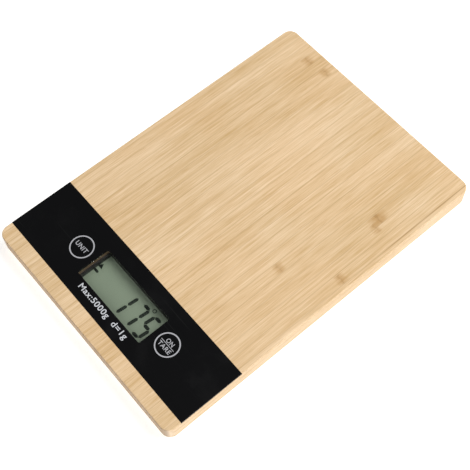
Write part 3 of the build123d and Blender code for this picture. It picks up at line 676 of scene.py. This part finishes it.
def battery_material(node):
    """Printed metal wrap: a dark band at the positive end, a plain body, bare steel at both ends."""
    low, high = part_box(node)
    positive = 1 if node == "battery_1" else -1
    material, shader, place = new_material(f"{node}_wrap")
    spot = split(place)
    middle = (low.x + high.x) / 2
    from_middle = times(minus(spot["X"], middle), positive)
    reach = (high.x - low.x) / 2
    band = smooth_step(from_middle, 0.42 * reach, 0.44 * reach)
    from_stripe = size_of(minus(from_middle, 0.36 * reach))
    stripe = smooth_step(from_stripe, 0.9 * MM, 0.7 * MM)
    bare = smooth_step(size_of(from_middle), reach - 1.7 * MM, reach - 1.5 * MM)
    cloud = noise(place, 120.0, 3.0)
    line = fibres(place, 0.2 * MM, 0.4 * MM)
    tint = mix_colour(cloud, (0.030, 0.033, 0.040), (0.045, 0.048, 0.056))
    tint = mix_colour(band, tint, (0.46, 0.20, 0.075))
    tint = mix_colour(stripe, tint, (0.60, 0.60, 0.58))
    tint = mix_colour(bare, tint, (0.62, 0.62, 0.61))
    rough = plus(between(line, 0.22, 0.32), times(bare, 0.06))
    shine = maths("MAXIMUM", bare, times(band, 0.85))
    skin = bump(line, 0.004 * MM, 0.5)
    feed(shader, Base_Color=tint, Roughness=rough, Metallic=shine, Normal=skin)
    return material


def dress(material, *nodes):
    """Give CAD nodes or new pieces a material in place of what they came with."""
    for node in nodes:
        piece = frame["nodes"][node] if isinstance(node, str) else node
        piece.data.materials.clear()
        piece.data.materials.append(material)


# ---------------- modelling helpers
def deselect_all():
    """Nothing selected and nothing active, so that an operator acts only on what is added next."""
    if bpy.context.object and bpy.context.object.mode != "OBJECT":
        bpy.ops.object.mode_set(mode="OBJECT")
    for item in bpy.context.view_layer.objects:
        item.select_set(False)
    bpy.context.view_layer.objects.active = None


def select_only(*pieces):
    """Select these pieces, the first of them active."""
    deselect_all()
    for piece in pieces:
        piece.select_set(True)
    bpy.context.view_layer.objects.active = pieces[0]


def settle(piece):
    """Put a piece's place into its mesh, so that its object sits at the origin, unturned and unscaled."""
    select_only(piece)
    bpy.ops.object.transform_apply(location=True, rotation=True, scale=True)
    return piece


def joined(name, pieces):
    """Several meshes as one named piece."""
    select_only(*pieces)
    if len(pieces) > 1:
        bpy.ops.object.join()
    piece = bpy.context.object
    piece.name = name
    piece.data.name = name
    return settle(piece)


def thicken(piece, thickness):
    """Make a flat sheet a closed solid that stands above the plane it lay in."""
    select_only(piece)
    solid = piece.modifiers.new("Thickness", "SOLIDIFY")
    solid.thickness = thickness
    solid.offset = 1.0
    bpy.ops.object.modifier_apply(modifier=solid.name)
    bpy.ops.object.mode_set(mode="EDIT")
    bpy.ops.mesh.select_all(action="SELECT")
    bpy.ops.mesh.remove_doubles(threshold=1e-6)
    bpy.ops.mesh.normals_make_consistent(inside=False)
    bpy.ops.object.mode_set(mode="OBJECT")
    return piece


def printed_word(text, height, width, spot, boldness=0.016):
    """A word in raised ink, height tall in its capitals and width long, whose baseline is centred on spot."""
    deselect_all()
    bpy.ops.object.text_add()
    word = bpy.context.object
    word.data.body = text
    word.data.align_x = "CENTER"
    word.data.size = height / CAPITAL_SHARE
    word.data.space_character = 1.08
    word.data.offset = boldness * height
    word.data.resolution_u = 6
    word.data.extrude = INK / 2
    select_only(word)
    bpy.ops.object.convert(target="MESH")
    word = bpy.context.object
    word.scale.x = width / word.dimensions.x
    settle(word)
    across = [vertex.co.x for vertex in word.data.vertices]
    word.location = Vector(spot) - Vector(((min(across) + max(across)) / 2, 0, 0))
    return settle(word)


def flat_disc(sides, radius, spot=(0, 0, 0)):
    """A flat filled disc, or with three sides a triangle that points along +Y."""
    deselect_all()
    bpy.ops.mesh.primitive_circle_add(vertices=sides, radius=radius, fill_type="NGON", location=spot)
    return bpy.context.object


def flat_ring(sides, radius, width, spot):
    """A disc, inset, with its middle taken out."""
    ring = flat_disc(sides, radius, spot)
    bpy.ops.object.mode_set(mode="EDIT")
    bpy.ops.mesh.select_all(action="SELECT")
    bpy.ops.mesh.inset(thickness=width)
    bpy.ops.mesh.delete(type="ONLY_FACE")
    bpy.ops.object.mode_set(mode="OBJECT")
    return ring


def printed_ring(spot, outer, width):
    """A ring in raised ink."""
    return settle(thicken(flat_ring(96, outer, width, spot), INK))


def printed_bar(spot, length, width):
    """A short straight line in raised ink with pointed-off ends."""
    bar = stroke_outline(length, width)
    bar.location = spot
    return settle(thicken(settle(bar), INK))


def stroke_outline(length, width):
    """A flat hexagon along X whose ends come to a point: one stroke of a digit."""
    outline = flat_disc(6, width / 2 / sin(pi / 3))
    outline.rotation_euler = (0, 0, pi / 2)
    outline.scale = (1, 2 * sin(pi / 3), 1)
    settle(outline)
    bpy.ops.object.mode_set(mode="EDIT")
    for side in (-1, 1):
        bpy.ops.mesh.select_all(action="DESELECT")
        bpy.ops.object.mode_set(mode="OBJECT")
        for vertex in outline.data.vertices:
            vertex.select = vertex.co.x * side > 0
        bpy.ops.object.mode_set(mode="EDIT")
        bpy.ops.transform.translate(value=(side * (length / 2 - width), 0, 0))
    bpy.ops.object.mode_set(mode="OBJECT")
    return outline


def copy_of(piece, location, turn=0.0):
    """A copy with its own mesh, moved and turned about Z."""
    twin = piece.copy()
    twin.data = piece.data.copy()
    bpy.context.scene.collection.objects.link(twin)
    twin.location = location
    twin.rotation_euler = (0, 0, turn)
    return twin


DIGIT_LEAN = 0.1  # rightwards for each unit up
STROKE_GAP = 0.3 * MM
READING_INSET = 7.2 * MM  # from the window's right end to the last digit's middle
READING_DROP = 0.8 * MM  # of the digits' middle, forward of the window's

# strokes of the digits 0 to 9; a to g are top, upper right, lower right, bottom, lower left,
# upper left and middle
DIGIT_STROKES = (
    "abcdef", "bc", "abged", "abgcd", "fgbc", "afgcd", "afgcde", "abc", "abcdefg", "abcdfg"
)


def digit_strokes(digit, middle, settings, across, upright):
    """Copies of the two model strokes that make one digit."""
    half_x, half_y = settings.digit_width / 2, settings.digit_height / 2
    places = {
        "a": (0, half_y, across),
        "b": (half_x, half_y / 2, upright),
        "c": (half_x, -half_y / 2, upright),
        "d": (0, -half_y, across),
        "e": (-half_x, -half_y / 2, upright),
        "f": (-half_x, half_y / 2, upright),
        "g": (0, 0, across),
    }
    strokes = []
    for letter in DIGIT_STROKES[int(digit)]:
        x, y, model = places[letter]
        strokes.append(copy_of(model, (middle + x, y, 0), 0 if model is across else pi / 2))
    return strokes


# ---------------- operators
class SCALE_OT_bamboo(bpy.types.Operator):
    """Finish the bamboo board"""

    bl_idname = "kitchen_scale.bamboo"
    bl_label = "Bamboo board"

    def execute(self, context):
        dress(bamboo_material(), "bamboo_platform")
        return {"FINISHED"}


BASELINE_GAP = 5.3 * MM  # from the window's front edge to the words' baseline
CAPACITY_INSET = 20.5 * MM  # from the window's left end to the capacity's middle
DIVISION_INSET = 13.1 * MM  # from the window's right end to the division's middle


class SCALE_OT_panel(bpy.types.Operator):
    """Finish the black panel, its tape and window, and print the capacity under the window"""

    bl_idname = "kitchen_scale.panel"
    bl_label = "Panel and window"

    def execute(self, context):
        settings = context.scene.scale_panel
        dress(gloss_material("black_panel", settings.black, 0.24), "display_panel")
        dress(gloss_material("adhesive_film", (0.02, 0.02, 0.02), 0.5), "panel_tape")
        dress(window_material(), "window_lens")
        low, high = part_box("window_lens")
        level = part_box("display_panel")[1].z + INK / 2
        baseline = low.y - BASELINE_GAP
        tall = settings.letter_height
        words = []
        for text, width, middle in (
            (settings.capacity, settings.capacity_width, low.x + CAPACITY_INSET),
            (settings.division, settings.division_width, high.x - DIVISION_INSET),
        ):
            words.append(printed_word(text, tall, width, (middle, baseline, level)))
        print_piece = joined("panel_lettering", words)
        dress(ink_material("printed_ink", settings.ink), print_piece)
        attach(print_piece, "platform")
        return {"FINISHED"}


WIDE_WORD = 3.2  # length of the unit key's word, in letter heights
SMALL_LETTER = 0.9  # letters of the tare key's two words, as a share of the unit key's
BAR_LENGTH = 10.8 * MM
BAR_WIDTH = 0.35 * MM


class SCALE_OT_keys(bpy.types.Operator):
    """Finish the two keys and print their rings and words"""

    bl_idname = "kitchen_scale.keys"
    bl_label = "Keys"

    def execute(self, context):
        settings = context.scene.scale_panel
        dress(gloss_material("black_key", settings.black, 0.22), *[f"key_{name}" for name in KEYS])
        ink = ink_material("ring_ink", settings.ring_ink)
        tall = settings.key_letter_height
        for name in KEYS:
            low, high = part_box(f"key_{name}")
            x, y, top = (low.x + high.x) / 2, (low.y + high.y) / 2, high.z
            level = top + INK / 2
            marks = [printed_ring((x, y, top), settings.ring_radius, settings.ring_width)]
            if name == "unit":
                marks.append(printed_word("UNIT", tall, WIDE_WORD * tall, (x, y - tall / 2, level)))
            else:
                small = SMALL_LETTER * tall
                marks.append(printed_word("ON", small, 2 * small, (x, y + 0.75 * MM, level)))
                marks.append(printed_bar((x, y + 0.1 * MM, top), BAR_LENGTH, BAR_WIDTH))
                marks.append(printed_word("TARE", small, 3.6 * small, (x, y - 0.7 * MM - small, level)))
            piece = joined(f"key_{name}_print", marks)
            dress(ink, piece)
            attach(piece, f"{name}_key")
        return {"FINISHED"}


class SCALE_OT_display(bpy.types.Operator):
    """Finish the liquid-crystal display and show its reading"""

    bl_idname = "kitchen_scale.display"
    bl_label = "Display"

    def execute(self, context):
        settings = context.scene.scale_display
        dress(display_material(), "lcd_front_polariser")
        glass = glass_sheet_material("display_glass", (0.48, 0.56, 0.50), 0.3)
        dress(glass, "lcd_front_glass", "lcd_rear_glass")
        dress(glass_sheet_material("reflector_film", (0.56, 0.58, 0.52), 0.4), "lcd_reflector")
        dress(moulded_material("black_plastic", (0.006, 0.006, 0.006), 0.55), "lcd_frame")
        dress(zebra_material(), "zebra_connector")
        low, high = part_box("window_lens")
        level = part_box("lcd_front_polariser")[1].z
        across = stroke_outline(settings.digit_width - STROKE_GAP, settings.stroke)
        upright = stroke_outline(settings.digit_height / 2 - STROKE_GAP, settings.stroke)
        strokes = []
        last_middle = high.x - READING_INSET
        for place, digit in enumerate(reversed(settings.reading)):
            strokes += digit_strokes(digit, last_middle - place * settings.pitch, settings, across, upright)
        for model in (across, upright):
            bpy.data.objects.remove(model)
        digits = joined("display_digits", strokes)
        lean = Matrix.Identity(4)
        lean[0][1] = DIGIT_LEAN
        digits.data.transform(lean)
        digits.location = (0, (low.y + high.y) / 2 - READING_DROP, level)
        settle(digits)
        marks = self.small_marks(low, high, level)
        piece = joined("display_digits", [thicken(digits, INK), *marks])
        dress(segment_material(), piece)
        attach(piece, "platform")
        return {"FINISHED"}

    def small_marks(self, low, high, level):
        """The zero triangle and minus bar at the left, and the small unit ring between the last digits."""
        triangle = flat_disc(3, 2.1 * MM, (low.x + 2.3 * MM, high.y - 8.2 * MM, level))
        bar = stroke_outline(4.0 * MM, 1.6 * MM)
        bar.location = (low.x + 2.7 * MM, high.y - 12.0 * MM, level)
        ring = flat_ring(24, 1.3 * MM, 0.5 * MM, (high.x - 12.0 * MM, high.y - 2.1 * MM, level))
        return [thicken(settle(mark), INK) for mark in (triangle, bar, ring)]


class SCALE_OT_electronics(bpy.types.Operator):
    """Finish the circuit board and what is soldered or screwed to it"""

    bl_idname = "kitchen_scale.electronics"
    bl_label = "Electronics"

    def execute(self, context):
        dress(circuit_board_material(), "main_board")
        dress(gloss_material("black_epoxy", (0.014, 0.014, 0.014), 0.32), "chip_blob")
        dress(moulded_material("chip_ceramic", (0.42, 0.30, 0.17), 0.45, 0.1 * MM), "chip_components")
        dress(metal_material("crystal_can", (0.70, 0.70, 0.69), 0.25), "timing_crystal")
        switch = moulded_material("switch_plastic", (0.02, 0.02, 0.02), 0.5)
        plunger = moulded_material("plunger_plastic", (0.66, 0.65, 0.62), 0.45)
        for name in KEYS:
            dress(switch, f"key_switch_{name}")
            dress(plunger, f"switch_plunger_{name}")
        return {"FINISHED"}


class SCALE_OT_feet(bpy.types.Operator):
    """Finish the load cells, their holders and the feet"""

    bl_idname = "kitchen_scale.feet"
    bl_label = "Feet and load cells"

    def execute(self, context):
        finishes = {
            "load_cell": metal_material("cell_steel", (0.62, 0.62, 0.60), 0.34),
            "cell_holder": moulded_material("white_plastic", (0.68, 0.67, 0.64), 0.5),
            "strain_gauge": rubber_material("white_sealant", (0.70, 0.70, 0.67), 0.5),
            "cell_lead": rubber_material("grey_lead", (0.20, 0.20, 0.21), 0.55),
            "foot_cup": moulded_material("foot_plastic", (0.60, 0.60, 0.575), 0.5),
            "foot_pad": rubber_material("foot_rubber", (0.022, 0.022, 0.022), 0.75),
        }
        for part, finish in finishes.items():
            dress(finish, *[f"{part}_{corner}" for corner in CORNERS])
        return {"FINISHED"}


ARROW_RELIEF = 0.4 * MM  # the arrow's height above the door
ARROW_ROOT = 0.05 * MM  # and how far it sinks into the door, so that no gap shows


class SCALE_OT_underside(bpy.types.Operator):
    """Finish the bottom cover, the battery door, its latch and every screw"""

    bl_idname = "kitchen_scale.underside"
    bl_label = "Underside"

    def execute(self, context):
        arrow = self.door_arrow()
        cover = moulded_material("cover_plastic", (0.60, 0.60, 0.575), 0.55)
        dress(cover, "bottom_cover", "battery_door", "door_latch", arrow)
        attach(arrow, "door")
        zinc = metal_material("zinc_steel", (0.55, 0.56, 0.58), 0.36)
        dress(zinc, "cover_screws", "cell_screws", "board_screws")
        return {"FINISHED"}

    def door_arrow(self):
        """A moulded arrow on the door that shows which way its latch is pressed."""
        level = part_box("battery_door")[0].z - ARROW_RELIEF
        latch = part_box("door_latch")[1].y
        head = flat_disc(3, 3.6 * MM, (0, latch + 18.2 * MM, level))
        shaft = stroke_outline(6.4 * MM, 2.0 * MM)
        shaft.rotation_euler = (0, 0, pi / 2)
        shaft.location = (0, latch + 12.8 * MM, level)
        depth = ARROW_RELIEF + ARROW_ROOT
        return joined("door_arrow", [thicken(settle(part), depth) for part in (head, shaft)])


class SCALE_OT_batteries(bpy.types.Operator):
    """Finish the batteries, their contacts, springs and leads"""

    bl_idname = "kitchen_scale.batteries"
    bl_label = "Batteries"

    def execute(self, context):
        for node in ("battery_1", "battery_2"):
            dress(battery_material(node), node)
        steel = metal_material("contact_steel", (0.72, 0.72, 0.71), 0.28)
        dress(steel, "battery_contacts", "battery_springs")
        dress(rubber_material("red_lead", (0.42, 0.018, 0.015), 0.5), "battery_lead_positive")
        dress(rubber_material("black_lead", (0.018, 0.018, 0.018), 0.5), "battery_lead_negative")
        return {"FINISHED"}


def floor_material(colour):
    """Pale paper floor, very slightly mottled, that lets a view from below through."""
    material, shader, place = new_material("pale_floor")
    tree = material.node_tree
    mottle = noise(place, 3.0, 3.0)
    tint = mix_colour(mottle, scaled(colour, 0.985), colour)
    rough = between(mottle, 0.85, 0.95)
    feed(shader, Base_Color=tint, Roughness=rough, Specular_IOR_Level=0.1)
    feed(shader, Emission_Color=tint, Emission_Strength=0.55)
    clear = tree.nodes.new("ShaderNodeBsdfTransparent")
    behind = tree.nodes.new("ShaderNodeNewGeometry").outputs["Backfacing"]
    mixed = add_node(tree, "ShaderNodeMixShader", {0: behind, 1: shader.outputs[0], 2: clear.outputs[0]})
    output = next(node for node in tree.nodes if node.type == "OUTPUT_MATERIAL")
    tree.links.new(mixed.outputs[0], output.inputs["Surface"])
    return material


# soft lights: name, azimuth and elevation in degrees, distance, width, power
LIGHTS = (
    ("key_light", 140, 56, 1.5, 1.1, 19.8),
    ("side_light", 80, 24, 1.4, 0.8, 2.0),
    ("fill_light", -20, 52, 1.6, 1.2, 7.0),
    ("under_light", 30, -60, 1.2, 1.0, 9.0),
)

SKY = (0.97, 0.985, 1.0, 1)
SKY_STRENGTH = 0.22
FLOOR_SIZE = 12.0
SENSOR_WIDTH = 36.0
AIM_X = 12.76 * MM  # where the camera looks, from the board's middle
AIM_Y = -11.18 * MM


def direction(azimuth, elevation):
    """Unit vector from the scale towards a place round it; azimuth 0 is in front and 90 at the right."""
    level = cos(elevation)
    return Vector((sin(azimuth) * level, -cos(azimuth) * level, sin(elevation)))


class SCALE_OT_stage(bpy.types.Operator):
    """Lay the floor, hang the lights and stand the camera"""

    bl_idname = "kitchen_scale.stage"
    bl_label = "Floor, lights and camera"

    def execute(self, context):
        settings = context.scene.scale_stage
        context.scene.view_settings.view_transform = "Standard"
        deselect_all()
        bpy.ops.mesh.primitive_plane_add(size=FLOOR_SIZE)
        floor = context.object
        floor.name = "floor"
        dress(floor_material(settings.floor), floor)
        floor.visible_shadow = False  # lets the light from below reach the underside
        world = bpy.data.worlds.new("studio")
        world.use_nodes = True
        background = world.node_tree.nodes["Background"].inputs
        background["Color"].default_value = SKY
        background["Strength"].default_value = SKY_STRENGTH
        context.scene.world = world
        for name, azimuth, elevation, distance, width, power in LIGHTS:
            away = direction(radians(azimuth), radians(elevation))
            deselect_all()
            bpy.ops.object.light_add(type="AREA", location=away * distance)
            light = context.object
            light.name = name
            light.data.shape = "DISK"
            light.data.size = width
            light.data.energy = power
            light.rotation_mode = "QUATERNION"
            light.rotation_quaternion = away.to_track_quat("Z", "Y")
        self.add_camera(context, settings)
        return {"FINISHED"}

    def add_camera(self, context, settings):
        """The camera looks down at the board's top, a little to the right of its middle."""
        aim = Vector((AIM_X, AIM_Y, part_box("bamboo_platform")[1].z))
        back = direction(settings.azimuth, settings.elevation)
        deselect_all()
        bpy.ops.object.camera_add(location=aim + back * settings.distance)
        camera = context.object
        camera.name = "camera"
        camera.data.lens = settings.lens
        camera.data.sensor_width = SENSOR_WIDTH
        side = Vector((cos(settings.azimuth), sin(settings.azimuth), 0))
        upright = back.cross(side)
        right = side * cos(settings.roll) + upright * sin(settings.roll)
        up = upright * cos(settings.roll) - side * sin(settings.roll)
        turned = Matrix((right, up, back)).transposed()
        camera.rotation_mode = "QUATERNION"
        camera.rotation_quaternion = turned.to_quaternion()
        context.scene.camera = camera


class SCALE_PT_panel(bpy.types.Panel):
    """Lists the pieces of the kitchen scale"""

    bl_idname = "SCALE_PT_panel"
    bl_label = "Kitchen scale"
    bl_space_type = "VIEW_3D"
    bl_region_type = "UI"
    bl_category = "Kitchen scale"

    def draw(self, context):
        for operator in OPERATORS:
            self.layout.operator(operator.bl_idname)
        for name, group in SETTINGS.items():
            box = self.layout.box()
            for field in group.__annotations__:
                box.prop(getattr(context.scene, name), field)


OPERATORS = (
    SCALE_OT_bamboo,
    SCALE_OT_panel,
    SCALE_OT_keys,
    SCALE_OT_display,
    SCALE_OT_electronics,
    SCALE_OT_feet,
    SCALE_OT_underside,
    SCALE_OT_batteries,
    SCALE_OT_stage,
)


def register():
    """Register the settings, the operators and the sidebar panel."""
    for item in (*SETTINGS.values(), *OPERATORS, SCALE_PT_panel):
        bpy.utils.register_class(item)
    for name, group in SETTINGS.items():
        setattr(bpy.types.Scene, name, PointerProperty(type=group))


def unregister():
    """Undo register."""
    for name in SETTINGS:
        delattr(bpy.types.Scene, name)
    for item in (SCALE_PT_panel, *reversed(OPERATORS), *reversed(list(SETTINGS.values()))):
        bpy.utils.unregister_class(item)


def main():
    """Build every piece in order."""
    register()
    make_groups()
    bpy.ops.kitchen_scale.bamboo()
    bpy.ops.kitchen_scale.panel()
    bpy.ops.kitchen_scale.keys()
    bpy.ops.kitchen_scale.display()
    bpy.ops.kitchen_scale.electronics()
    bpy.ops.kitchen_scale.feet()
    bpy.ops.kitchen_scale.underside()
    bpy.ops.kitchen_scale.batteries()
    bpy.ops.kitchen_scale.stage()


if __name__ == "__main__":
    main()
